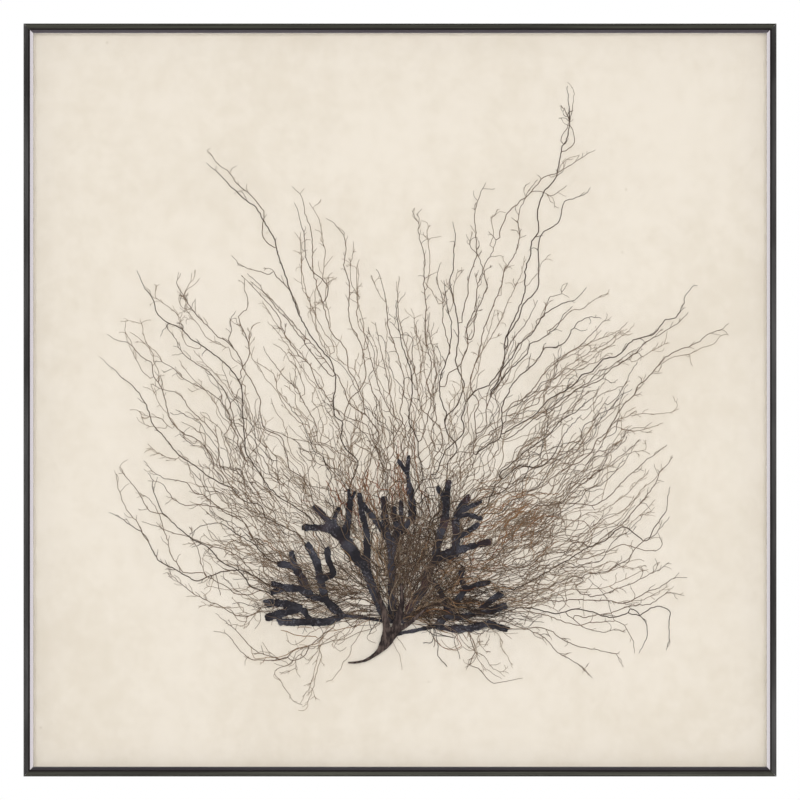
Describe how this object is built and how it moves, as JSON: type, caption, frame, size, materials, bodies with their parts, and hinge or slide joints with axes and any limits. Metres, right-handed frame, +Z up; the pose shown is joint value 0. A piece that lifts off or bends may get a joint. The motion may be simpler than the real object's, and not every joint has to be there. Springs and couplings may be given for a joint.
{
  "type": "framed pressed sea fan",
  "caption": "Slim dark metal wall frame holding a dried, pressed sea fan with dark forked fronds and thread-like branches on a cream sheet behind a clear pane.",
  "frame": {"origin": "centre of the frame's bounding box", "axes": "+X to the right as seen from the front, +Y out of the back towards the wall, +Z up as it hangs; the front faces -Y"},
  "size_m": [0.61, 0.025, 0.61],
  "materials": {
    "frame_metal": "dark anodised, polished with fine lines along each rail",
    "pane": "clear",
    "sheet": "aged cream, matt, faintly mottled",
    "spacer": "matt",
    "board": "brown pressed fibreboard",
    "zinc": "zinc plated",
    "spring": "blued spring steel",
    "frond": "dried, blue-black with pale speckles",
    "stem": "dried, dark olive brown",
    "thread": "dried, taupe brown with ochre and red-brown threads"
  },
  "bodies": {
    "root": {"rail_top": "frame_metal", "rail_right": "frame_metal", "rail_bottom": "frame_metal", "rail_left": "frame_metal", "corner_key_1": "zinc", "corner_key_2": "zinc", "corner_key_3": "zinc", "corner_key_4": "zinc", "spring_clip_1": "spring", "spring_clip_2": "spring", "spring_clip_3": "spring", "spring_clip_4": "spring", "spring_clip_5": "spring", "spring_clip_6": "spring", "spring_clip_7": "spring", "spring_clip_8": "spring", "hanger_plate": "zinc", "glazing": "pane", "spacer_top": "spacer", "spacer_right": "spacer", "spacer_bottom": "spacer", "spacer_left": "spacer", "paper_sheet": "sheet", "backing_board": "board", "stem": "stem", "frond_low_left": "frond", "frond_upper_left": "frond", "frond_centre": "frond", "frond_right": "frond", "frond_low_right": "frond", "fan_crown": "thread", "fan_low_left": "thread", "fan_left": "thread", "fan_upper_left": "thread", "fan_tall_left": "thread", "fan_top": "thread", "fan_tall_right": "thread", "fan_right_upper": "thread", "fan_right": "thread", "fan_low_right": "thread"}
  },
  "joints": []
}
